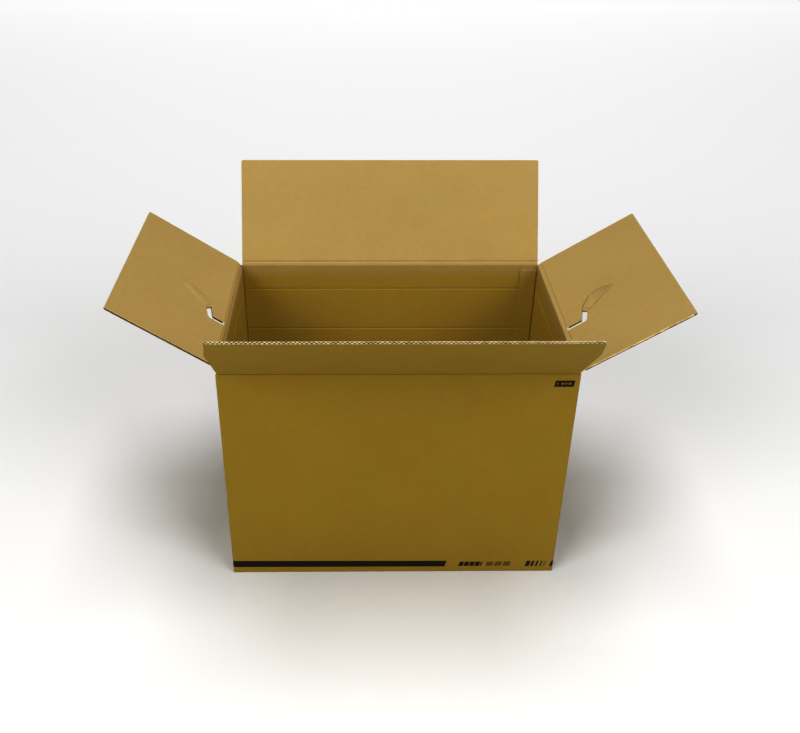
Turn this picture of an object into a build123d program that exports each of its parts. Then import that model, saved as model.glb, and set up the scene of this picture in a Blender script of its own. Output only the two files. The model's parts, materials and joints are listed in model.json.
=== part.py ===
from build123d import *
from math import cos, radians, sin
import os

# Open carton folded from one sheet of single-wall corrugated board, in millimetres.
# Origin: centre of the underside. +X runs along the long side, the front is at -Y, +Z is up.

# --- carton ---
outer_length = 600.0
outer_width = 416.0
crease_height = 441.0           # hinge line of the long flaps above the floor
board = 4.0                     # thickness of the board
corner_radius = 4.0             # outside of the upright folds

# --- top flaps ---
front_rest_angle = 43.7         # above the outward horizontal, as they stand open
back_rest_angle = 60.8
left_rest_angle = 33.2
right_rest_angle = 32.4
long_flap_inset = 4.0           # from the carton's end to the side edge of a long flap
front_taper = 10.5              # how far each side edge of the front flap runs in
front_taper_start = 135.0       # distance from the crease where that begins
left_flap_trim = 14.0           # cut away along the near side edge of the left flap
flap_corner_radius = 4.0
top_seam_gap = 5.6              # between the free edges of the two long top flaps when closed
bottom_seam_gap = 0.6           # the same under the tape

# --- creases ---
hinge_offset = 0.2              # hinge line outside the wall's face
crease_neck = 1.7               # board left between wall and flap where it is crushed
fold_clearance = 0.3
stack_clearance = 0.4           # between a closed long flap and the short one under it
crease_ramp = 5.0               # height of the crushed slope inside the wall
long_flap_score = 5.0           # pressed line on a flap, from the hinge line
left_flap_score = 4.4
right_flap_score = 7.0
score_width = 2.0
score_depth = 0.5

# --- lower height creases round the inside ---
height_crease_drops = (53.5, 145.0)
height_crease_width = 4.0
height_crease_depth = 0.5

# --- hand hooks cut in the short flaps ---
hook_slot_width = 10.4
hook_arm = 28.8                 # length of the turned arm along the crease
hook_arm_slope = 7.8            # how far the arm runs out over that length
right_hook_bend = (34.4, -62.2) # inner corner of the slot, out from the hinge line and along it
left_hook_bend = (29.7, -44.4)
blade_tip = (77.3, 59.5)        # end of the pressed blade, out and along from the bend
blade_bulge = (32.2, 63.3)
blade_line_width = 1.4
blade_line_depth = 0.4
blade_line_gap = 2.0            # board left between the slot and the pressed lines

# --- glue tab ---
tab_width = 33.5
tab_thickness = 3.4
tab_head_gap = 0.8              # between the tab and the closed short flap over it
tab_foot_gap = 5.5
tab_foot_slope = 5.0

# --- bottom ---
bottom_flap_inset = 5.0
tape_width = 50.0
tape_thickness = 0.2
tape_rise = 60.0                # how far the tape runs up each end wall

inner_length = outer_length - 2 * board
inner_width = outer_width - 2 * board
short_crease_height = crease_height - board - stack_clearance
flap_length = outer_width / 2 + hinge_offset - top_seam_gap / 2
short_flap_half = inner_width / 2 - fold_clearance
flap_root = crease_neck + hinge_offset + fold_clearance
long_floor = tape_thickness
short_floor = long_floor + board + fold_clearance
shoulder_drop = board + hinge_offset + stack_clearance

os.makedirs("parts", exist_ok=True)


def finish(piece, label):
    piece.part.label = label
    export_step(piece.part, f"parts/{label}.step")


def wall_plane(outward, distance):
    """Upright section plane of a wall: x runs inwards from its outer face, y is up."""
    inward = outward * -1
    return Plane(origin=outward * distance, x_dir=inward, z_dir=inward.cross(Vector(0, 0, 1)))


def flap_plane(outward, distance, crease, angle):
    """Outer face of an open flap: x runs out from the hinge line, z points at its inner face."""
    out = outward * cos(radians(angle)) + Vector(0, 0, sin(radians(angle)))
    normal = outward * -sin(radians(angle)) + Vector(0, 0, cos(radians(angle)))
    hinge = outward * (distance + hinge_offset) + Vector(0, 0, crease)
    return Plane(origin=hinge + normal * hinge_offset, x_dir=out, z_dir=normal)


def wall(outward, distance, half_length, floor, crease):
    """One wall with its rounded foot and the crushed slope below its top crease."""
    shoulder = crease - shoulder_drop
    with BuildSketch(wall_plane(outward, distance)) as section:
        with BuildLine():
            Polyline((0, floor + board), (0, shoulder), (crease_neck, shoulder),
                     (board, shoulder - crease_ramp), (board, floor))
            RadiusArc((board, floor), (0, floor + board), board)
        make_face()
    extrude(section.sketch, amount=half_length, both=True)


def crease_rib(outward, distance, half_length, crease):
    """The thin crushed board that carries a top flap, rolled round about the hinge line."""
    shoulder = crease - shoulder_drop
    with BuildSketch(wall_plane(outward, distance)) as section:
        with Locations((crease_neck / 2, (shoulder + crease) / 2)):
            Rectangle(crease_neck, crease - shoulder)
        with Locations((-hinge_offset, crease)):
            Circle(crease_neck + hinge_offset)
    extrude(section.sketch, amount=half_length, both=True)


def bottom_flap(outward, distance, half_length, floor):
    """A closed bottom flap, folded in from the foot of its wall to the middle of the width."""
    reach = (outer_width - bottom_seam_gap) / 2
    with BuildSketch(wall_plane(outward, distance)) as section:
        with Locations(((board + reach) / 2, floor + board / 2)):
            Rectangle(reach - board, board)
    extrude(section.sketch, amount=half_length, both=True)


def flap_blank(plane, low_side, high_side, taper=0.0):
    """The flat board of a top flap between its two side edges."""
    points = [(flap_root, low_side), (flap_length, low_side + taper)]
    points += [(flap_length, high_side - taper), (flap_root, high_side)]
    if taper:
        points.insert(1, (front_taper_start, low_side))
        points.insert(4, (front_taper_start, high_side))
    with BuildSketch(plane) as outline:
        with BuildLine():
            Polyline(*points, close=True)
        make_face()
        fillet(vertices().sort_by(Axis.X)[-2:], flap_corner_radius)
    extrude(outline.sketch, amount=board)


def flap_score_line(plane, score, half_length):
    """The pressed line across the inner face where the crushed band of the crease ends."""
    with BuildSketch(plane.offset(board)) as pressed:
        with Locations((score, 0)):
            Rectangle(score_width, 2 * half_length)
    extrude(pressed.sketch, amount=-score_depth, mode=Mode.SUBTRACT)


def hand_hook(plane, score, inner_bend, along):
    """The bent slot through a short flap and the two pressed lines of its blade."""
    reach, place = inner_bend
    bend = (reach, along * place)
    near = along * (place - hook_slot_width)
    arm_end = (reach + hook_arm_slope, along * (place + hook_arm))
    outer_bend = (reach + hook_slot_width, along * (place - hook_slot_width / 2))
    outer_end = (arm_end[0] + hook_slot_width * 0.85, along * (place + hook_arm - hook_slot_width))
    with BuildSketch(plane) as outline:
        with BuildLine():
            Polyline((score, along * place), bend, arm_end, outer_end, outer_bend,
                     (outer_bend[0] - hook_slot_width * 0.4, near), (score, near), close=True)
        make_face()
    extrude(outline.sketch, amount=board, mode=Mode.SUBTRACT)
    tip = Vector(reach + blade_tip[0], along * (place + blade_tip[1]))
    bulge = (reach + blade_bulge[0], along * (place + blade_bulge[1]))
    straight = (tip - Vector(*outer_end)).normalized() * blade_line_gap
    with BuildSketch(plane.offset(board)) as pressed:
        with BuildLine():
            Spline((arm_end[0], arm_end[1] + along * blade_line_gap), bulge, tip)
        with BuildLine():
            Line(Vector(*outer_end) + straight, tip - straight * 2)
        trace(line_width=blade_line_width)
    extrude(pressed.sketch, amount=-blade_line_depth, mode=Mode.SUBTRACT)


front = Vector(0, -1, 0)
back = Vector(0, 1, 0)
left = Vector(-1, 0, 0)
right = Vector(1, 0, 0)

# --- walls, glue tab and closed bottom flaps: one folded sheet ---
with BuildPart() as carton_body:
    for outward in (front, back):
        wall(outward, outer_width / 2, outer_length / 2, long_floor, crease_height)
        bottom_flap(outward, outer_width / 2, outer_length / 2 - bottom_flap_inset, long_floor)
    for outward in (left, right):
        wall(outward, outer_length / 2, inner_width / 2, short_floor, short_crease_height)
        bottom_flap(outward, outer_length / 2, short_flap_half, short_floor)
    with BuildSketch():
        RectangleRounded(outer_length, outer_width, corner_radius)
    extrude(amount=crease_height + board, mode=Mode.INTERSECT)
    for outward in (front, back):
        crease_rib(outward, outer_width / 2, outer_length / 2 - long_flap_inset, crease_height)
    for outward in (left, right):
        crease_rib(outward, outer_length / 2, short_flap_half, short_crease_height)

    # the tab comes off the right wall and is glued inside the back wall
    tab_top = short_crease_height - shoulder_drop - tab_head_gap
    tab_foot = short_floor + board + tab_foot_gap
    tab_root = inner_length / 2
    with BuildSketch(Plane.XZ.offset(-inner_width / 2)):
        with BuildLine():
            Polyline((tab_root, tab_foot), (tab_root - tab_width, tab_foot + tab_foot_slope),
                     (tab_root - tab_width, tab_top), (tab_root, tab_top), close=True)
        make_face()
    extrude(amount=tab_thickness)

    for drop in height_crease_drops:
        with BuildSketch(Plane.XY.offset(crease_height - drop - height_crease_width / 2)):
            Rectangle(inner_length + 2 * height_crease_depth, inner_width + 2 * height_crease_depth)
            with Locations((inner_length / 2, inner_width / 2)):
                Rectangle(2 * (tab_width - height_crease_depth), 2 * (tab_thickness - height_crease_depth),
                          mode=Mode.SUBTRACT)
        extrude(amount=height_crease_width, mode=Mode.SUBTRACT)
finish(carton_body, "carton_body")

# --- long flaps ---
with BuildPart() as front_flap:
    plane = flap_plane(front, outer_width / 2, crease_height, front_rest_angle)
    long_flap_half = outer_length / 2 - long_flap_inset
    flap_blank(plane, -long_flap_half, long_flap_half, front_taper)
    flap_score_line(plane, long_flap_score, long_flap_half)
finish(front_flap, "front_flap")

with BuildPart() as back_flap:
    plane = flap_plane(back, outer_width / 2, crease_height, back_rest_angle)
    flap_blank(plane, -long_flap_half, long_flap_half)
    flap_score_line(plane, long_flap_score, long_flap_half)
finish(back_flap, "back_flap")

# --- short flaps, with the hooks nearer the front ---
with BuildPart() as left_flap:
    plane = flap_plane(left, outer_length / 2, short_crease_height, left_rest_angle)
    flap_blank(plane, -short_flap_half, short_flap_half - left_flap_trim)
    flap_score_line(plane, left_flap_score, short_flap_half)
    hand_hook(plane, left_flap_score, left_hook_bend, -1)
finish(left_flap, "left_flap")

with BuildPart() as right_flap:
    plane = flap_plane(right, outer_length / 2, short_crease_height, right_rest_angle)
    flap_blank(plane, -short_flap_half, short_flap_half)
    flap_score_line(plane, right_flap_score, short_flap_half)
    hand_hook(plane, right_flap_score, right_hook_bend, 1)
finish(right_flap, "right_flap")

# --- tape over the bottom seam and up both end walls ---
tape_bend = bottom_flap_inset - fold_clearance
with BuildPart() as bottom_tape:
    with BuildSketch(Plane.XZ):
        with BuildLine():
            FilletPolyline((-outer_length / 2, tape_rise), (-outer_length / 2, tape_thickness),
                           (outer_length / 2, tape_thickness), (outer_length / 2, tape_rise),
                           radius=tape_bend)
            offset(amount=tape_thickness, side=Side.RIGHT)
        make_face()
    extrude(amount=tape_width / 2, both=True)
finish(bottom_tape, "bottom_tape")
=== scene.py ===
import bpy
import json
from math import ceil, cos, pi, radians, sin
from mathutils import Matrix, Vector, noise


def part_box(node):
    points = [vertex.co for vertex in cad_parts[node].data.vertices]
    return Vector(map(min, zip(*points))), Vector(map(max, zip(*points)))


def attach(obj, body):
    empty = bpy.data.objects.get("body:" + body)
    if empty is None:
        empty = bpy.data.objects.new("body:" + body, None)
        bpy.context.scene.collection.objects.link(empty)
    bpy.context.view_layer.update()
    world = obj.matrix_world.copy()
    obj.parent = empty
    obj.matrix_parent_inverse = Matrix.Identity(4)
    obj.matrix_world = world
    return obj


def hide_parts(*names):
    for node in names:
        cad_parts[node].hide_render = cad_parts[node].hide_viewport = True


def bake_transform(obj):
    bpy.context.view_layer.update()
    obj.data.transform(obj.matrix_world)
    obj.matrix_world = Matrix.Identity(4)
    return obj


# An open carton of fluted board: walls, bottom flaps, glue tab and tape stand still,
# the four top flaps turn about their creases. Metres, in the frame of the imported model.

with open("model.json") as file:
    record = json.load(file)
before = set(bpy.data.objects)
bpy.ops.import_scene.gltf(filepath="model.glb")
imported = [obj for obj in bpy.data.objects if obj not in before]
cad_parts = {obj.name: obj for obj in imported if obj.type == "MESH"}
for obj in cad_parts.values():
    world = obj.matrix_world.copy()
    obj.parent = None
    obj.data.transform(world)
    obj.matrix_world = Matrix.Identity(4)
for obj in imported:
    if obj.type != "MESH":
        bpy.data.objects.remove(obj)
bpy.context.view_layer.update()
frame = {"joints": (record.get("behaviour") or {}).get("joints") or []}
UP = Vector((0, 0, 1))

# --- board ---
BOARD = 0.004
LINER = 0.00055                 # paper on each face
MEDIUM = 0.0008                 # the fluted paper between them, with the fuzz of its cut edge
FLUTE_PITCH = 0.0067
FLUTE_STEPS = 10                # facets in one flute
HINGE_OFFSET = 0.0002           # hinge line outside the wall's face
WALL_GAP = 0.0003               # short flaps clear of the long walls
CORNER = 0.004                  # outside radius of the upright folds
CORNER_GAP = 0.0017             # dark slit inside the upright folds
TAPE = 0.0002

# --- creases ---
BAND_FOOT = 0.006               # where the flat wall ends, under the short flaps' hinge line
BAND_STEPS = 72                 # cuts along a crease, for its small waves
BAND_PAST_SCORE = 0.0040        # how far the crushed board reaches past the pressed line
EDGE_LOOP = 0.0003              # spacing of the loops that hold a band's two ends flat
VALLEY_CUT = 0.0018             # depth of the sharp fold into the board
# Rolls of the outer paper beside the fold: (distance from the fold, swell of the paper).
WALL_ROLL = ((0.0060, 0), (0.0045, 0.00015), (0.0030, 0.00035), (0.0020, 0.0003), (0.0014, 0),
             (0.0010, -0.0008))
FLAP_ROLL = ((0.0008, -0.0008), (0.0012, 0.0002), (0.0020, 0.0009), (0.0030, 0.0011),
             (0.0050, 0.0007), (0.0074, 0.0001))
# The pressed line's outer slope: (distance from its middle, share of its depth).
SCORE_SLOPE = ((0.0022, 0.75), (0.0012, 0.4), (0.0005, 0.06), (0, 0))

LONG_FLAP = 0.2054              # from the hinge line to the free edge
SHORT_FLAP = 0.2044
POST_DROP = 0.0025              # tops of the upright folds, under the long flaps' hinge line

joints = {joint["name"]: joint for joint in frame["joints"]}


class Side:
    """One side of the carton: where its wall stands, and how its top flap is hinged.

    score is the pressed line on the flap, from the hinge line, groove its depth, and ridge the
    length and the share of that depth by which the board swells beside it. lift is how far
    the flap rides up on its crushed crease. rim is the height of the wall's inner edge above the
    hinge line, rounded over the length soft.
    """

    def __init__(self, name, outward, score, groove, ridge, lift, rim, soft, length=LONG_FLAP):
        joint = joints[f"{name}_flap_fold"]
        self.name = name
        self.score = score
        self.groove = groove
        self.ridge = ridge
        self.band_out = score + BAND_PAST_SCORE
        self.lift = lift
        self.rim = rim
        self.soft = soft
        self.length = length
        self.out = Vector(outward)
        self.hinge = Vector(joint["pos_m"])
        self.angle = pi - radians(joint["range_deg"][1])
        self.body = joint["child"]
        self.along = UP.cross(self.out)
        self.face = self.hinge.dot(self.out) - HINGE_OFFSET
        self.crease = self.hinge.z
        self.wall_axis = "x" if self.out.y else "y"

    def flap_frame(self):
        """X runs out along the open flap from the hinge line, Z points at its inner face."""
        out = self.out * cos(self.angle) + Vector((0, 0, sin(self.angle)))
        normal = out.cross(self.along)
        return frame_matrix(out, self.along, normal, self.hinge)

    def section_frame(self):
        """X runs outwards from the hinge line, Y is up, Z runs along the wall."""
        return frame_matrix(self.out, UP, self.out.cross(UP), self.hinge)


def frame_matrix(x, y, z, origin):
    """The frame with these three axes, at origin."""
    turn = Matrix((x, y, z)).transposed().to_4x4()
    return Matrix.Translation(origin) @ turn


long_crease = {"score": 0.0040, "groove": 0.0009, "ridge": (0.0026, 0.35), "lift": 0, "rim": -0.0010,
               "soft": 0.0014}
front = Side("front", (0, -1, 0), **long_crease)
back = Side("back", (0, 1, 0), **long_crease)
left = Side("left", (-1, 0, 0), score=0.0060, groove=0.0011, ridge=(0.0013, -0.3), lift=0.0030,
            rim=-0.0025, soft=0.0026, length=SHORT_FLAP)
right = Side("right", (1, 0, 0), score=0.0054, groove=0.0011, ridge=(0.0013, 0.6), lift=0.0018,
             rim=0.0037, soft=0.0018, length=SHORT_FLAP)
SIDES = (front, back, left, right)
HALF_LENGTH = right.face
HALF_WIDTH = back.face
SHORT_HALF = HALF_WIDTH - BOARD - WALL_GAP
LONG_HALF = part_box("back_flap")[1].x
WALL_TOP = right.crease - BAND_FOOT
POST_TOP = front.crease - POST_DROP
LONG_FLOOR = TAPE
SHORT_FLOOR = LONG_FLOOR + BOARD + WALL_GAP


# --- modelling tools ---
def clear_selection():
    if bpy.context.object and bpy.context.object.mode != "OBJECT":
        bpy.ops.object.mode_set(mode="OBJECT")
    bpy.ops.object.select_all(action="DESELECT")


def pick(piece):
    clear_selection()
    piece.select_set(True)
    bpy.context.view_layer.objects.active = piece
    return piece


def flat_shape(name, outline):
    """A flat face with the given corners, in the XY plane."""
    clear_selection()
    bpy.ops.mesh.primitive_circle_add(vertices=len(outline), fill_type="NGON")
    piece = bpy.context.object
    piece.name = piece.data.name = name
    for corner, point in zip(piece.data.vertices, outline):
        corner.co = (point[0], point[1], 0)
    return piece


def face_outwards(piece):
    """Turns every face of a closed body outwards."""
    pick(piece)
    bpy.ops.object.mode_set(mode="EDIT")
    bpy.ops.mesh.select_all(action="SELECT")
    bpy.ops.mesh.normals_make_consistent(inside=False)
    bpy.ops.object.mode_set(mode="OBJECT")
    return piece


def draw_out(piece, depth, steps=1):
    """Extrudes a flat face along Z into a closed body."""
    pick(piece)
    bpy.ops.object.mode_set(mode="EDIT")
    bpy.ops.mesh.select_all(action="SELECT")
    for _ in range(steps):
        bpy.ops.mesh.extrude_region_move(TRANSFORM_OT_translate={"value": (0, 0, depth / steps)})
    return face_outwards(piece)


def place(piece, matrix):
    """Moves the mesh itself, so that the object stays at the origin."""
    piece.data.transform(matrix)
    return piece


def duplicate(piece, name):
    """A copy with a mesh of its own."""
    copy = piece.copy()
    copy.data = piece.data.copy()
    copy.name = copy.data.name = name
    bpy.context.collection.objects.link(copy)
    return copy


def apply_modifier(piece, kind, **settings):
    pick(piece)
    modifier = piece.modifiers.new(kind.lower(), kind)
    for key, value in settings.items():
        setattr(modifier, key, value)
    bpy.ops.object.modifier_apply(modifier=modifier.name)
    return piece


def carve(piece, tool, operation="DIFFERENCE", keep=False):
    """Cuts the piece with the tool, and removes the tool unless it is kept."""
    apply_modifier(piece, "BOOLEAN", object=tool, operation=operation, solver="EXACT")
    if not keep:
        bpy.data.objects.remove(tool)
    return piece


def round_corners(piece, test, radius):
    """Rounds the corners of a flat shape that pass the test."""
    pick(piece)
    for corner in piece.data.vertices:
        corner.select = test(corner.co)
    for edge in piece.data.edges:
        edge.select = False
    for face in piece.data.polygons:
        face.select = False
    bpy.ops.object.mode_set(mode="EDIT")
    bpy.ops.mesh.select_mode(type="VERT")
    bpy.ops.mesh.bevel(affect="VERTICES", offset=radius, segments=5)
    bpy.ops.object.mode_set(mode="OBJECT")
    return piece


# --- fluted board ---
def one_flute():
    """A strip of the medium one pitch wide, its wave along Y, its channel along X."""
    clear_selection()
    bpy.ops.mesh.primitive_grid_add(x_subdivisions=1, y_subdivisions=FLUTE_STEPS, size=1)
    piece = bpy.context.object
    piece.name = "flute"
    height = (BOARD - 2 * LINER - MEDIUM) / 2
    for corner in piece.data.vertices:
        turn = corner.co.y + 0.5
        corner.co = (corner.co.x + 0.5, turn * FLUTE_PITCH, height * cos(2 * pi * turn))
    return piece


flute = one_flute()


def fluted_board(name, shape, holes=()):
    """Two liners and the medium between them, cut to a flat shape in the XY plane.

    The outer face lies at Z = 0. The flutes run along X.
    """
    xs = [corner.co.x for corner in shape.data.vertices]
    ys = [corner.co.y for corner in shape.data.vertices]
    outer = draw_out(duplicate(shape, f"{name}_outer_liner"), LINER)
    inner = place(duplicate(outer, f"{name}_inner_liner"), Matrix.Translation((0, 0, BOARD - LINER)))
    body = place(draw_out(shape, 3 * BOARD), Matrix.Translation((0, 0, -BOARD)))
    medium = duplicate(flute, f"{name}_flutes")
    count = ceil((max(ys) - min(ys)) / FLUTE_PITCH) + 1
    for corner in medium.data.vertices:
        corner.co.x = min(xs) - BOARD + corner.co.x * (max(xs) - min(xs) + 2 * BOARD)
        corner.co.y += min(ys) - FLUTE_PITCH / 2
        corner.co.z += BOARD / 2
    apply_modifier(medium, "ARRAY", count=count, use_relative_offset=False, use_constant_offset=True,
                   constant_offset_displace=(0, FLUTE_PITCH, 0), use_merge_vertices=True,
                   merge_threshold=LINER / 10)
    for corner in medium.data.vertices:
        drift = noise.noise(Vector((corner.co.y * 45, min(ys) * 50, 0))) * 0.0011
        corner.co.y += drift + noise.noise(Vector((corner.co.y * 260, 3, 0))) * 0.0006
    apply_modifier(medium, "SOLIDIFY", thickness=MEDIUM, offset=0)
    carve(medium, body, "INTERSECT")
    for hole in holes:
        for sheet in (outer, inner, medium):
            carve(sheet, hole, keep=True)
    return [outer, inner, medium]


# --- top flaps ---
TAPER_START = 0.135             # the front flap's ends slant in from here
FRONT_TAPER = 0.0105
FLAP_CORNER = 0.004
HOOK_WIDTH = 0.0104             # of the slot
HOOK_ARM = 0.0288               # the turned arm, along the flap
HOOK_SLOPE = 0.0078             # and how far it leans out
BLADE_TIP = (0.0773, 0.0595)    # from the bend, out and along
BLADE_CURVE = ((0.0165, 0.0465), (0.0322, 0.0633), (0.0498, 0.0703))
BLADE_ROD = 0.0012              # radius of the lines pressed along the blade
BLADE_THICKNESS = 0.0016
BLADE_SOFT = 0.0014


def flap_shape(side, low, high, taper=0.0):
    """The flat blank of a flap, from the crushed band of its crease to its free edge."""
    outline = [(side.band_out, low), (side.length, low + taper),
               (side.length, high - taper), (side.band_out, high)]
    if taper:
        outline.insert(1, (TAPER_START, low))
        outline.insert(4, (TAPER_START, high))
    shape = flat_shape(f"{side.name}_flap", outline)
    return round_corners(shape, lambda corner: corner.x > side.length - LINER, FLAP_CORNER)


class Hook:
    """The bent slot of a short flap and the pressed blade beyond it.

    reach and place are the inner corner of the bend, out from the hinge line and along it,
    and hand is 1 or -1, for the way the arm turns. relief is how far the blade stands proud.
    """

    def __init__(self, start, reach, place, hand, relief):
        self.start, self.reach, self.place, self.hand, self.relief = start, reach, place, hand, relief
        self.arm_end = self.point(HOOK_SLOPE, HOOK_ARM)
        self.outer_end = self.point(HOOK_SLOPE + HOOK_WIDTH * 0.85, HOOK_ARM - HOOK_WIDTH)
        self.tip = self.point(*BLADE_TIP)

    def point(self, out, along):
        return Vector((self.reach + out, self.hand * (self.place + along)))

    def slot(self):
        """A cutter in the shape of the slot: a channel from the crease, then the turned arm."""
        outline = [Vector((self.start, self.point(0, 0).y)), self.point(0, 0), self.arm_end, self.outer_end,
                   self.point(HOOK_WIDTH, -HOOK_WIDTH / 2), self.point(HOOK_WIDTH * 0.6, -HOOK_WIDTH),
                   Vector((self.start, self.point(0, -HOOK_WIDTH).y))]
        cutter = draw_out(flat_shape("hook_slot", outline), 4 * BOARD)
        return place(cutter, Matrix.Translation((0, 0, -1.5 * BOARD)))

    def blade_edges(self, gap=0.0):
        """The curved and the straight edge of the blade, each from the slot to the tip."""
        straight = (self.tip - self.outer_end).normalized() * gap
        curved = [self.arm_end + Vector((gap * 0.2, self.hand * gap)),
                  *(self.point(*spot) for spot in BLADE_CURVE), self.tip - straight]
        return curved, [self.outer_end + straight, self.tip - straight]


def smooth_rod(points, radius, sink):
    """A rod along a smooth flat curve, let into the inner face of a flap by sink."""
    curve = bpy.data.curves.new("pressed_line", "CURVE")
    curve.dimensions = "3D"
    curve.bevel_depth = radius
    curve.bevel_resolution = 2
    curve.use_fill_caps = True
    spline = curve.splines.new("BEZIER")
    spline.bezier_points.add(len(points) - 1)
    for knot, point in zip(spline.bezier_points, points):
        knot.co = (point[0], point[1], BOARD + radius - sink)
        knot.handle_left_type = knot.handle_right_type = "AUTO"
    curve.resolution_u = 8
    rod = bpy.data.objects.new("pressed_line", curve)
    bpy.context.collection.objects.link(rod)
    pick(rod)
    bpy.ops.object.convert(target="MESH")
    return bpy.context.object


def press_blade(liner, hook):
    """Presses the two edges of the blade into the inner liner."""
    for edge in hook.blade_edges(gap=BLADE_ROD):
        carve(liner, smooth_rod(edge, BLADE_ROD, sink=hook.relief * 0.8))


def raised_blade(hook, name):
    """The blade stands a little proud of the flap, highest along its middle."""
    curved, straight = hook.blade_edges(gap=0.004)
    knots = [*curved, straight[-1], straight[0]]
    centre = sum(knots, Vector((0, 0))) / len(knots)
    outline = [point.lerp(centre, 0.07) for point in knots]
    leaf = draw_out(flat_shape(name, outline), BLADE_THICKNESS)
    place(leaf, Matrix.Translation((0, 0, BOARD - BLADE_THICKNESS + hook.relief)))
    return apply_modifier(leaf, "BEVEL", width=BLADE_SOFT, segments=4, limit_method="ANGLE")


def crease_profile(side, foot):
    """Section of the bent, crushed board over a crease, about the hinge line; X outwards, Y up.

    It runs up the wall's outer face, through the sharp valley of the fold and out under the
    flap, then back over the flap's pressed line and the crushed band to the wall's inner rim.
    """
    turn = side.angle
    out_way = Vector((cos(turn), sin(turn)))
    up_way = Vector((-sin(turn), cos(turn)))
    low = HINGE_OFFSET + side.lift
    high = low + BOARD
    outer_face = -HINGE_OFFSET
    inner_face = outer_face - BOARD

    def on_flap(out, height):
        return out_way * out + up_way * height

    valley = Vector((outer_face, (low + sin(turn) * outer_face) / cos(turn)))
    inward = (Vector((-1, 0)) + up_way).normalized()
    outer = [Vector((outer_face, foot)), Vector((outer_face, foot + EDGE_LOOP))]
    outer += [valley + Vector((swell, -drop)) for drop, swell in WALL_ROLL]
    outer += [valley + inward * VALLEY_CUT]
    start = valley.dot(out_way)
    outer += [on_flap(start + out, low - swell) for out, swell in FLAP_ROLL]
    outer += [on_flap(side.band_out - EDGE_LOOP, low), on_flap(side.band_out, low)]

    floor = high - side.groove
    inner = [on_flap(side.band_out, high), on_flap(side.band_out - EDGE_LOOP, high),
             on_flap(side.score + 0.0032, high - 0.00005)]
    ridge_length, ridge_rise = side.ridge
    ridge_slope = ((-0.0005, ridge_rise / 5), (-ridge_length, ridge_rise))
    inner += [on_flap(side.score + step, floor + side.groove * rise)
              for step, rise in SCORE_SLOPE + ridge_slope]
    band_start = inner[-1]
    rim = Vector((inner_face, side.rim))
    slope = (band_start - rim).normalized()
    band_length = (band_start - rim).length
    round_top = rim + slope * min(side.soft, band_length * 0.7)
    for share in (0.2, 0.6):
        inner.append(band_start.lerp(round_top, share))
    round_foot = rim - Vector((0, side.soft))
    for step in range(6):
        share = step / 5
        inner.append(round_top.lerp(rim, share).lerp(rim.lerp(round_foot, share), share))
    inner += [round_foot - Vector((0, 0.0005)), Vector((inner_face, foot + EDGE_LOOP)),
              Vector((inner_face, foot))]
    return outer, inner


def crease_band(side, low, high):
    """The bent, crushed board that joins a wall to its flap."""
    foot = WALL_TOP - side.crease
    outer, inner = crease_profile(side, foot)
    band = draw_out(flat_shape(f"{side.name}_crease", outer + inner), high - low, BAND_STEPS)
    for corner in band.data.vertices:       # small waves, none at the band's two ends
        rise = min(1.0, max(0.0, (corner.co.y - foot) / 0.004))
        share = rise * min(1.0, max(0.0, (side.band_out - 0.0006 - corner.co.x) / 0.004))
        seed = Vector((corner.co.z * 18, side.face * 10, corner.co.x * 60))
        sway = noise.noise(seed) * 0.0004 + noise.noise(seed * 5) * 0.00015
        corner.co.y += share * sway
    place(band, Matrix.Translation((0, 0, low)))
    return place(band, side.section_frame())


def board_frame(side):
    """Outer face of a flap: X out from the hinge line, Z towards the inner face."""
    return side.flap_frame() @ Matrix.Translation((0, 0, HINGE_OFFSET + side.lift))


WORN_DEPTH = 0.0016
WORN_STEPS = 60


def crushed_edge(side, low):
    """The medium along a worn side edge, flattened between the liners in uneven lengths."""
    start, end = side.band_out + 0.001, side.length - FLAP_CORNER * 1.5
    cut = [(start + (end - start) * step / WORN_STEPS,
            low + 0.0002 + abs(noise.noise(Vector((step * 0.37, 5, 0)))) * 0.0014)
           for step in range(WORN_STEPS + 1)]
    outline = cut + [(end, low + WORN_DEPTH), (start, low + WORN_DEPTH)]
    strip = draw_out(flat_shape(f"{side.name}_flap_worn_edge", outline), BOARD - 2 * LINER)
    return place(strip, Matrix.Translation((0, 0, LINER)))


def top_flap(side, low, high, taper=0.0, hook=None):
    """A flap's fluted board, with the blade of its hook, in place."""
    shape = flap_shape(side, low, high, taper)
    holes = [hook.slot()] if hook else []
    pieces = fluted_board(f"{side.name}_flap", shape, holes)
    if hook:
        press_blade(pieces[1], hook)
        pieces.append(raised_blade(hook, f"{side.name}_hook_blade"))
    if side is right:
        pieces.append(crushed_edge(side, low))
    for hole in holes:
        bpy.data.objects.remove(hole)
    for piece in pieces:
        place(piece, board_frame(side))
    return pieces


# --- walls, glue tab and bottom ---
HEIGHT_CREASES = (0.0535, 0.145)           # below the long flaps' hinge line
# Section of a height crease: (height from its middle, depth into the wall).
HEIGHT_CREASE = ((0.0024, 0), (0.0013, 0.0003), (0.0005, 0.0009), (-0.0005, 0.0009),
                 (-0.0013, 0.0003), (-0.0024, 0))
TAB_WIDTH = 0.0335
TAB_THICK = 0.0034
TAB_SET_BACK = 0.0008                      # of its fluted core
CORNER_BEADS = ((-1, 1, 0.0016), (1, -1, 0.0012))      # sides in X and Y, radius
BOTTOM_INSET = 0.005


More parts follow.
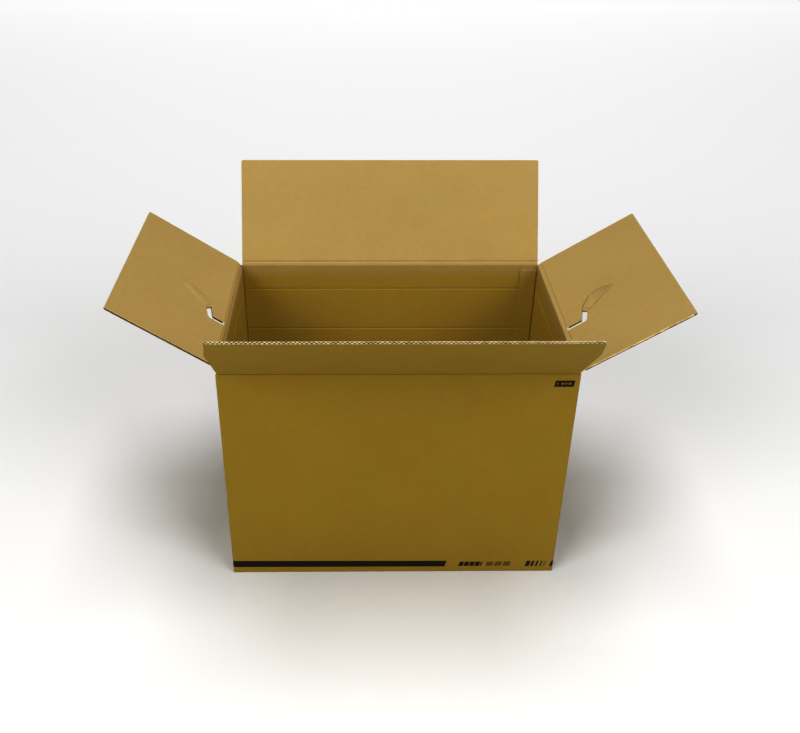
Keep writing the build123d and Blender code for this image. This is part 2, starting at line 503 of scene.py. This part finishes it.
def wall(side, floor, half, top):
    """One wall with a rounded foot and the height creases pressed into its inner face."""
    outline = [(-BOARD + BOARD * sin(turn), floor + BOARD - BOARD * cos(turn))
               for turn in (pi / 2 * step / 6 for step in range(7))]
    outline += [(0, top), (-BOARD, top)]
    for drop in sorted(HEIGHT_CREASES):
        height = front.crease - drop
        outline += [(-BOARD + depth, height + lift) for lift, depth in HEIGHT_CREASE]
    piece = draw_out(flat_shape(f"{side.name}_wall", outline), 2 * half)
    base = frame_matrix(side.out, UP, side.out.cross(UP), side.out * side.face)
    return place(place(piece, Matrix.Translation((0, 0, -half))), base)


def box_tool(low, high):
    """A plain block, used only to cut with."""
    clear_selection()
    middle = (Vector(low) + Vector(high)) / 2
    bpy.ops.mesh.primitive_cube_add(size=1, location=middle, scale=Vector(high) - Vector(low))
    bpy.ops.object.transform_apply()
    return bpy.context.object


def rounded_plan(half_x, half_y, radius, low, high):
    """A block with rounded upright edges, used only to cut with."""
    outline = [(half_x, half_y), (-half_x, half_y), (-half_x, -half_y), (half_x, -half_y)]
    shape = round_corners(flat_shape("plan", outline), lambda corner: True, radius)
    return place(draw_out(shape, high - low), Matrix.Translation((0, 0, low)))


def build_walls():
    """The long walls carry the rounded upright folds, whose tops stand up between the flaps."""
    walls = []
    for side in (front, back):
        piece = wall(side, LONG_FLOOR, HALF_LENGTH, POST_TOP)
        plan = rounded_plan(HALF_LENGTH, HALF_WIDTH, CORNER * 0.98, -BOARD, front.crease)
        carve(piece, plan, "INTERSECT")
        carve(piece, box_tool((-LONG_HALF, -1, WALL_TOP), (LONG_HALF, 1, 1)))
        walls.append(piece)
    for side in (left, right):
        piece = wall(side, SHORT_FLOOR, HALF_WIDTH - BOARD, WALL_TOP)
        inner = side.face - BOARD
        for end in (-1, 1):
            slit = [side.out.x * (inner - BOARD), end * (HALF_WIDTH - BOARD - CORNER_GAP)]
            far = [side.out.x * (inner + BOARD * 0.6), end * HALF_WIDTH]
            corners = [[min(a, b) for a, b in zip(slit, far)], [max(a, b) for a, b in zip(slit, far)]]
            carve(piece, box_tool((*corners[0], SHORT_FLOOR + BOARD), (*corners[1], 1)))
        walls.append(piece)
    return walls


def build_corner_beads():
    """The inner liner bulges beside two of the upright folds, where the board was creased."""
    beads = []
    for x, y, radius in CORNER_BEADS:
        clear_selection()
        height = WALL_TOP - SHORT_FLOOR - BOARD
        place_x = x * (HALF_LENGTH - BOARD - radius - 0.0014)
        place_y = y * (HALF_WIDTH - BOARD + radius * 0.45)
        bpy.ops.mesh.primitive_cylinder_add(vertices=20, radius=radius, depth=height,
                                            location=(place_x, place_y, WALL_TOP - height / 2))
        bead = bpy.context.object
        bpy.ops.object.transform_apply()
        bead.name = bead.data.name = "corner_bead"
        beads.append(bead)
    return beads


def build_glue_tab():
    """The tab from the right wall, glued inside the back one: two liners and a set-back core."""
    slope, foot_gap, head_gap = 0.005, 0.0055, -0.0002
    root = HALF_LENGTH - BOARD
    low = SHORT_FLOOR + BOARD + foot_gap
    high = WALL_TOP + head_gap
    pieces = []
    for name, depth, start, set_back in (("glue_tab_inner_liner", LINER, 0.0, 0.0),
                                         ("glue_tab_core", TAB_THICK - 2 * LINER, LINER, TAB_SET_BACK),
                                         ("glue_tab_outer_liner", LINER, TAB_THICK - LINER, 0.0)):
        edge = root - TAB_WIDTH + set_back
        fold = root - CORNER_GAP
        outline = [(fold, low + set_back), (fold, high - set_back), (edge, high - set_back),
                   (edge, low + slope + set_back)]
        piece = draw_out(flat_shape(name, outline), depth)
        base = frame_matrix(Vector((1, 0, 0)), UP, Vector((0, -1, 0)),
                            Vector((0, HALF_WIDTH - BOARD - TAB_THICK + start + depth, 0)))
        pieces.append(place(piece, base))
    for drop in HEIGHT_CREASES:
        height = front.crease - drop
        face = HALF_WIDTH - BOARD - TAB_THICK
        carve(pieces[0], box_tool((0, face - BOARD, height - 0.0009), (root, face + 0.0003, height + 0.0009)))
    return pieces


def build_bottom():
    """Closed bottom flaps: the long pair outside meets on the seam, the short pair lies on them."""
    reach = HALF_WIDTH - 0.0003
    long_half = HALF_LENGTH - BOTTOM_INSET
    boards = []
    for side, floor, half in ((front, LONG_FLOOR, long_half), (back, LONG_FLOOR, long_half),
                              (left, SHORT_FLOOR, SHORT_HALF), (right, SHORT_FLOOR, SHORT_HALF)):
        shape = flat_shape("bottom", [(BOARD, -half), (reach, -half), (reach, half), (BOARD, half)])
        base = frame_matrix(-side.out, -side.along, UP, side.out * side.face + UP * floor)
        for sheet in fluted_board(f"{side.name}_bottom", shape):
            boards.append(place(sheet, base))
    return boards


TAPE_WIDTH = 0.050
TAPE_BEND = 0.0047              # radius of the tape round the two bottom edges


def build_tape():
    """Paper tape along the bottom seam and up the middle of both end walls."""
    half, rise, bend = HALF_LENGTH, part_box("bottom_tape")[1].z, TAPE_BEND
    path = [(-half, rise), (-half, TAPE + bend)]
    turns = [pi / 2 * step / 6 for step in range(1, 6)]
    path += [(-half + bend - bend * cos(turn), TAPE + bend - bend * sin(turn)) for turn in turns]
    path += [(-half + bend, TAPE), (half - bend, TAPE)]
    path += [(half - bend + bend * sin(turn), TAPE + bend - bend * cos(turn)) for turn in turns]
    path += [(half, TAPE + bend), (half, rise)]
    clear_selection()
    bpy.ops.mesh.primitive_grid_add(x_subdivisions=len(path) - 1, y_subdivisions=2, size=1)
    piece = bpy.context.object
    piece.name = piece.data.name = "bottom_tape_strip"
    for corner in piece.data.vertices:
        step = round((corner.co.x + 0.5) * (len(path) - 1))
        corner.co = (path[step][0], corner.co.y * TAPE_WIDTH, path[step][1])
    return face_outwards(apply_modifier(piece, "SOLIDIFY", thickness=TAPE, offset=-1))


# --- materials ---
class Wire:
    """A shader socket that can be added, multiplied and compared like a number."""

    def __init__(self, paint, socket):
        self.paint = paint
        self.socket = socket

    def math(self, operation, *others, clamp=False):
        return self.paint.node("Math", {"operation": operation, "use_clamp": clamp}, self, *others)

    def __add__(self, other):
        return self.math("ADD", other)

    __radd__ = __add__

    def __mul__(self, other):
        return self.math("MULTIPLY", other)

    __rmul__ = __mul__

    def __sub__(self, other):
        return self.math("SUBTRACT", other)

    def __rsub__(self, other):
        return self.paint.node("Math", {"operation": "SUBTRACT"}, other, self)

    def __truediv__(self, other):
        return self.math("DIVIDE", other)

    def over(self, level, soft):
        """1 where this is above level, 0 below, with a soft step between."""
        return ((self - level) / soft + 0.5).math("ADD", 0.0, clamp=True)

    def between(self, low, high, soft):
        return self.over(low, soft) * (1 - self.over(high, soft))


class Paint:
    """One material's node tree."""

    def __init__(self, name):
        self.material = bpy.data.materials.new(name)
        self.material.use_nodes = True
        self.tree = self.material.node_tree
        self.shader = self.tree.nodes["Principled BSDF"]
        place_node = self.tree.nodes.new("ShaderNodeTexCoord")
        self.position = Wire(self, place_node.outputs["Object"])
        parts = self.node("SeparateXYZ", {}, self.position, whole=True)
        self.x, self.y, self.z = (Wire(self, parts.outputs[axis]) for axis in "XYZ")

    def node(self, kind, settings, *values, whole=False, **named):
        """Adds a node: its settings first, then its sockets in order or by name."""
        made = self.tree.nodes.new(f"ShaderNode{kind}")
        for key, value in settings.items():
            setattr(made, key, value)
        sockets = list(zip(made.inputs, values)) + [(made.inputs[key.replace("_", " ")], value)
                                                    for key, value in named.items()]
        for socket, value in sockets:
            if isinstance(value, Wire):
                self.tree.links.new(value.socket, socket)
            elif value is not None:
                socket.default_value = value
        return made if whole else Wire(self, made.outputs[0])

    def noise(self, scale, stretch=(1, 1, 1), detail=3.0, roughness=0.5):
        """Noise from 0 to 1, scale in cells per metre, stretched along the axes."""
        where = self.node("VectorMath", {"operation": "MULTIPLY"}, self.position, stretch)
        return self.node("TexNoise", {}, Vector=where, Scale=scale, Detail=detail, Roughness=roughness)

    def mix(self, factor, first, second, blend="MIX"):
        """Mixes two colours."""
        made = self.node("Mix", {"data_type": "RGBA", "blend_type": blend}, whole=True)
        for socket, value in zip((made.inputs[0], made.inputs[6], made.inputs[7]), (factor, first, second)):
            if isinstance(value, Wire):
                self.tree.links.new(value.socket, socket)
            else:
                socket.default_value = (*value, 1) if hasattr(value, "__len__") else value
        return Wire(self, made.outputs[2])

    def bump(self, height, strength, distance):
        return self.node("Bump", {}, Strength=strength, Distance=distance, Height=height)

    def finish(self, color, roughness, normal=None):
        for name, value in (("Base Color", color), ("Roughness", roughness), ("Normal", normal)):
            if isinstance(value, Wire):
                self.tree.links.new(value.socket, self.shader.inputs[name])
            elif value is not None:
                self.shader.inputs[name].default_value = value
        self.shader.inputs["Specular IOR Level"].default_value = 0.28
        return self.material


INK = (0.005, 0.0022, 0.0014)
FAINT_INK = (0.075, 0.042, 0.012)
INK_SOFT = 0.0005                          # softness of printed edges
BORDER_SLANT = 0.25
BORDER_BARS = ((0.0536, 0.0074), (0.0434, 0.0047), (0.0346, 0.0036), (0.0264, 0.0026))
DARK_BLOCKS = ((0.1790, 0.0085), (0.1690, 0.0085), (0.1590, 0.0085), (0.1490, 0.0085), (0.1390, 0.0030))
FAINT_BLOCKS = (0.1280, 0.1120, 0.0960)
LABEL_DASHES = ((0.2610, 0.0018), (0.2682, 0.0042), (0.2748, 0.0026), (0.2798, 0.0046))


def print_band(paint, along, z):
    """The printed border: a long bar, plain blocks, then bars that thin out towards the fold.

    along is the distance from the panel's right-hand fold. Returns the dark and the faint mask.
    """
    leaned = along + (z - 0.014) * BORDER_SLANT
    row = z.between(along * 0.0022 + 0.0137, along * 0.0052 + 0.0272, INK_SOFT)
    block_row = z.between(0.0150, 0.0258, INK_SOFT)
    dark = leaned.over(0.2045, INK_SOFT) + (1 - leaned.over(0.0077, INK_SOFT))
    for start, width in BORDER_BARS:
        dark = dark + leaned.between(start - width, start, INK_SOFT)
    for start, width in DARK_BLOCKS:
        dark = dark + leaned.between(start - width, start, INK_SOFT) * block_row
    faint = leaned.between(0.0169, 0.0193, INK_SOFT)
    for start in FAINT_BLOCKS:
        faint = faint + leaned.between(start - 0.0130, start, INK_SOFT) * block_row
    return dark.math("MINIMUM", 1.0) * row, faint * row


def print_label(paint):
    """A slanted dark plate with light dashes, under the front's right-hand end of the crease."""
    leaned = paint.x - (paint.z - 0.415) * 0.12
    plate = leaned.between(0.2572, 0.2895, 0.0004) * paint.z.between(0.4147, 0.4268, 0.0004)
    row = paint.z.between(0.4190, 0.4226, 0.0008)
    marks = [leaned.between(start, start + width, 0.0006) for start, width in LABEL_DASHES]
    return plate * (1 - sum(marks[1:], marks[0]) * row * 0.8)


def kraft(name, tone, flutes_along, border=None, label=False, painted_shade_tone=None):
    """Kraft paper on fluted board: cloudy pulp, fibres, flecks and the faint ridges of the flutes.

    deep is a painted shade: the darker, more saturated tone that the paper below the rim, inside the carton,
    takes for the shade and bounced light there.
    """
    paint = Paint(name)
    clouds = paint.noise(9, detail=4)
    blotch = paint.noise(60, detail=3)
    fibres = paint.noise(420, (1.0, 1.0, 0.22), detail=2)
    cross_fibres = paint.noise(380, (0.22, 0.3, 1.0), detail=2)
    grain = paint.noise(1500, detail=2)
    shade = 0.90 + clouds * 0.10 + blotch * 0.06 + (fibres + cross_fibres - 1.0) * 0.10
    shade = shade + (grain - 0.5) * 0.05
    ridge = (getattr(paint, flutes_along) * (2 * pi / FLUTE_PITCH)).math("SINE")
    # The flutes' ridges also lighten and darken the colour a little: painted shade of the washboard, beside
    # its bump below.
    shade = shade + ridge * 0.004
    height = grain * 0.25 + fibres * 0.35 + cross_fibres * 0.35 + ridge * 0.4
    flecks = paint.noise(700, detail=1).over(0.72, 0.06)
    # Painted shade: below the rim the paper takes the darker, more saturated tone given for inside the
    # carton, for the shade and bounced light there.
    tint = paint.mix(paint.z.over(0.425, 0.03), painted_shade_tone, tone) if painted_shade_tone else tone
    warm = paint.noise(13, detail=3).over(0.5, 0.25)
    tint = paint.mix(warm * 0.35, tint, (1.03, 0.95, 0.93), "MULTIPLY")
    color = paint.node("VectorMath", {"operation": "SCALE"}, tint, Scale=shade)
    color = paint.mix(flecks * 0.25, color, tuple(c * 0.45 for c in tone))
    light_flecks = paint.noise(560, detail=1).over(0.74, 0.05)
    color = paint.mix(light_flecks * 0.16, color, tuple(min(1.0, c * 1.7) for c in tone))
    if border:
        dark, faint = print_band(paint, border(paint), paint.z)
        if label:
            dark = dark + print_label(paint)
        worn = 0.97 + (grain - 0.5) * 0.2
        color = paint.mix(faint * 0.75, color, FAINT_INK)
        color = paint.mix(dark * worn, color, INK)
    rough = 0.80 + (blotch - 0.5) * 0.12
    return paint.finish(color, rough, paint.bump(height, 0.35, 0.00012))


def cut_edge(name, tone):
    """Cut edges of the paper: lighter, soft and fibrous, dull where they were crushed. Given a dark tone, the
    same finish is the painted shade inside the flutes.
    """
    paint = Paint(name)
    fuzz = paint.noise(900, detail=3)
    patches = paint.noise(90, detail=2).over(0.45, 0.25)
    shade = 0.50 + fuzz * 0.30 + patches * 0.35
    color = paint.node("VectorMath", {"operation": "SCALE"}, tone, Scale=shade)
    return paint.finish(color, 0.95, paint.bump(fuzz, 0.6, 0.0003))


def tape_paper():
    """Smooth brown paper tape, a little glossier than the board."""
    paint = Paint("brown_paper_tape")
    clouds = paint.noise(30, detail=3)
    fibres = paint.noise(500, (0.2, 1.0, 1.0), detail=2)
    color = paint.node("VectorMath", {"operation": "SCALE"}, (0.235, 0.13, 0.045),
                       Scale=0.85 + clouds * 0.2 + fibres * 0.12)
    return paint.finish(color, 0.42 + fibres * 0.15, paint.bump(fibres + clouds, 0.3, 0.0002))


OUTER_TONE = (0.314, 0.211, 0.023)
INNER_TONE = (0.447, 0.326, 0.123)
SHADED_INNER_TONE = (0.415, 0.286, 0.042)          # painted shade: the inner paper down in the carton, darker and more saturated for the shade and bounced light there
EDGE_TONE = (0.86, 0.72, 0.44)
OUTER_EDGE_TONE = (0.50, 0.38, 0.16)
# Painted shade: the fluted medium and the liner faces inside the board are dark brown, for the shade down the
# flute channels.
FLUTE_SHADE_TONE = (0.20, 0.12, 0.035)
# Distance along each panel from its right-hand fold.
borders = {"front": lambda paint: HALF_LENGTH - paint.x, "right": lambda paint: HALF_WIDTH - paint.y,
           "back": lambda paint: HALF_LENGTH + paint.x, "left": lambda paint: HALF_WIDTH + paint.y}
outer_papers, inner_papers = {}, {}
for side in SIDES:
    outer_papers[side.name] = kraft(f"{side.name}_outer_kraft", OUTER_TONE, side.wall_axis,
                                    borders[side.name], label=side is front)
for side in SIDES:
    inner_papers[side.name] = kraft(f"{side.name}_inner_kraft", INNER_TONE, side.wall_axis, painted_shade_tone=SHADED_INNER_TONE)
edge_paper = cut_edge("cut_board_edge", EDGE_TONE)
outer_edge_paper = cut_edge("outer_liner_edge", OUTER_EDGE_TONE)
flute_shade_paper = cut_edge("fluted_medium", FLUTE_SHADE_TONE)
tape_finish = tape_paper()


def dress(piece, papers, choose):
    """Gives each face the paper that choose(face) numbers."""
    piece.data.materials.clear()
    for paper in papers:
        piece.data.materials.append(paper)
    for face in piece.data.polygons:
        face.material_index = choose(face)
        face.use_smooth = False
    return piece


def dress_board(sheets, side, normal):
    """Liners show paper on their broad face and a cut edge round it. normal is that of the inner face."""
    outer, inner, medium, *extras = sheets
    flutes_run = side.flap_frame().to_3x3().col[0] if normal.z < 0.99 else side.out

    def liner_paper(outwards):
        def choose(face):
            facing = face.normal.dot(normal) * outwards
            # Faces that look into the board get the dark flute paper: painted shade inside the flutes.
            return 0 if facing > 0.3 else 2 if facing < -0.9 else 1
        return choose

    dress(outer, [outer_papers[side.name], outer_edge_paper, flute_shade_paper], liner_paper(-1))
    dress(inner, [inner_papers[side.name], edge_paper, flute_shade_paper], liner_paper(1))
    # The medium's faces along the channels get the dark flute paper, painted shade; its cut ends get the
    # light edge paper.
    dress(medium, [flute_shade_paper, edge_paper], lambda face: 1 if abs(face.normal.dot(flutes_run)) > 0.7 else 0)
    for extra in extras:
        worn = extra.name.endswith("worn_edge")
        dress(extra, [edge_paper if worn else inner_papers[side.name]], lambda face: 0)
        for face in extra.data.polygons:
            face.use_smooth = not worn


# --- the object ---
front_half = LONG_HALF + 0.0008
left_near = SHORT_HALF - 0.014
spans = {"front": (-front_half, front_half), "back": (-LONG_HALF, LONG_HALF),
         "left": (-left_near, SHORT_HALF), "right": (-SHORT_HALF, SHORT_HALF)}
hooks = {"left": Hook(start=left.score, reach=0.0297, place=-0.0444, hand=-1, relief=0.0004),
         "right": Hook(start=right.score, reach=0.0344, place=-0.0622, hand=1, relief=0.0009)}
flaps = {"front": top_flap(front, *spans["front"], taper=FRONT_TAPER),
         "back": top_flap(back, *spans["back"]),
         "left": top_flap(left, -SHORT_HALF, left_near, hook=hooks["left"]),
         "right": top_flap(right, *spans["right"], hook=hooks["right"])}
for side in SIDES:
    pieces = flaps[side.name]
    dress_board(pieces, side, side.flap_frame().to_3x3().col[2])
    for piece in pieces:
        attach(piece, side.body)
    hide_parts(f"{side.name}_flap")

for side in SIDES:
    low, high = spans[side.name]
    if side in (left, right):
        high -= CORNER_GAP
    band = crease_band(side, low, high)
    if side.name in hooks:
        carve(band, place(hooks[side.name].slot(), board_frame(side)))
    out_way = side.flap_frame().to_3x3().col[0]
    paths = crease_profile(side, WALL_TOP - side.crease)

    def band_paper(face):
        """Outer paper or inner paper, whichever path of the section is nearer, and cut edges."""
        if abs(face.normal.dot(side.along)) > 0.9:
            return 2
        spot = face.center - side.hinge
        section = Vector((spot.dot(side.out), spot.z))
        outer_reach, inner_reach = [min((section - point).length for start, end in zip(path, path[1:])
                                        for point in (start, start.lerp(end, 0.5), end)) for path in paths]
        return 0 if outer_reach < inner_reach else 1

    dress(band, [outer_papers[side.name], inner_papers[side.name], edge_paper], band_paper)
    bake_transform(band)

walls = build_walls()
for piece, side in zip(walls, SIDES):
    def wall_paper(face):
        """Cut edges on the short walls' tops, inner paper on inner faces, outer paper elsewhere."""
        if face.normal.z > 0.9 and side in (left, right):
            return 2
        inside = face.center.dot(side.out) < side.face - BOARD * 0.7
        return 1 if inside and face.normal.dot(side.out) < -0.3 else 0

    dress(piece, [outer_papers[side.name], inner_papers[side.name], edge_paper], wall_paper)
bottom = build_bottom()
for number, side in enumerate(SIDES):
    dress_board(bottom[number * 3:number * 3 + 3], side, UP)
tab = build_glue_tab()
dress(tab[0], [inner_papers["back"], edge_paper], lambda face: 0 if face.normal.y < -0.9 else 1)
# The glue tab's set-back core gets the dark flute paper: painted shade between its liners.
dress(tab[1], [flute_shade_paper], lambda face: 0)
dress(tab[2], [inner_papers["back"]], lambda face: 0)
beads = build_corner_beads()
for bead in beads:
    dress(bead, [inner_papers["back"]], lambda face: 0)
for piece in walls + bottom + tab + beads:
    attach(piece, "carton")
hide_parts("carton_body")

tape = build_tape()
dress(tape, [tape_finish], lambda face: 0)
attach(tape, "carton")
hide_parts("bottom_tape")
bpy.data.objects.remove(flute)


# --- stage, light and camera ---
FLOOR_SIZE = 40
FLOOR_GREY = 0.80
FLOOR_GLOW = 0.6
GLOW_BEHIND = (3.0, 4.4)        # where the floor's glow sets in behind the carton, and over what length
GLOW_ROUND = (7.0, 4.0)         # and all round it
FILL_LIGHT = 0.06               # from all round
BACKDROP_LIGHT = 0.85           # how bright the empty studio looks
LIGHT_AIM = Vector((0, 0, 0.42))
# Softboxes: name, azimuth to the right of the front, elevation, watts.
SOFTBOXES = (("overhead", 0, 90, 360), ("front_left", -45, 33, 288), ("front_right", 45, 33, 238),
             ("right_rim", 90, 35, 30))


def build_stage():
    """A pale floor that glows a little far from the carton, where the softboxes don't reach."""
    clear_selection()
    bpy.ops.mesh.primitive_plane_add(size=FLOOR_SIZE)
    floor = bpy.context.object
    floor.name = "floor"
    paint = Paint("pale_floor")
    away = (paint.x * paint.x + paint.y * paint.y).math("SQRT")
    far = paint.y.over(*GLOW_BEHIND).math("MAXIMUM", away.over(*GLOW_ROUND))
    glow = paint.mix(far, (0, 0, 0), (1, 1, 1))
    paint.tree.links.new(glow.socket, paint.shader.inputs["Emission Color"])
    paint.shader.inputs["Emission Strength"].default_value = FLOOR_GLOW
    floor.data.materials.append(paint.finish((FLOOR_GREY, FLOOR_GREY, FLOOR_GREY, 1), 0.9))


def soft_light(name, azimuth, elevation, power, size=3.94, distance=7.0):
    """A square softbox aimed at the carton."""
    light = bpy.data.lights.new(name, "AREA")
    light.shape = "SQUARE"
    light.size = size
    light.energy = power
    turn, rise = radians(azimuth), radians(elevation)
    way = Vector((sin(turn) * cos(rise), -cos(turn) * cos(rise), sin(rise)))
    holder = bpy.data.objects.new(name, light)
    holder.location = LIGHT_AIM + way * distance
    holder.rotation_euler = (-way).to_track_quat("-Z", "Y").to_euler()
    bpy.context.collection.objects.link(holder)


def build_light():
    """Four softboxes, a faint fill from all round, and a pale empty studio behind."""
    world = bpy.data.worlds.new("studio")
    bpy.context.scene.world = world
    world.use_nodes = True
    tree = world.node_tree
    fill, wall = tree.nodes["Background"], tree.nodes.new("ShaderNodeBackground")
    for background, strength in ((fill, FILL_LIGHT), (wall, BACKDROP_LIGHT)):
        background.inputs["Color"].default_value = (1, 1, 1, 1)
        background.inputs["Strength"].default_value = strength
    choice, path = tree.nodes.new("ShaderNodeMixShader"), tree.nodes.new("ShaderNodeLightPath")
    tree.links.new(path.outputs["Is Camera Ray"], choice.inputs[0])
    tree.links.new(fill.outputs[0], choice.inputs[1])
    tree.links.new(wall.outputs[0], choice.inputs[2])
    tree.links.new(choice.outputs[0], tree.nodes["World Output"].inputs["Surface"])
    for softbox in SOFTBOXES:
        soft_light(*softbox)


def build_camera():
    """The camera's place is in lengths of the carton."""
    camera = bpy.data.objects.new("camera", bpy.data.cameras.new("camera"))
    camera.location = Vector((-0.1218, -2.5022, 2.0826)) * 2 * HALF_LENGTH
    camera.rotation_euler = (radians(57.71), radians(-0.28), radians(-0.70))
    camera.data.lens = 42.07
    camera.data.sensor_width = 36
    camera.data.shift_x = 0.0423
    camera.data.shift_y = 0.0148
    bpy.context.collection.objects.link(camera)
    bpy.context.scene.camera = camera


build_stage()
build_light()
build_camera()
bpy.context.scene.view_settings.view_transform = "Standard"
bpy.context.scene.view_settings.gamma = 0.69
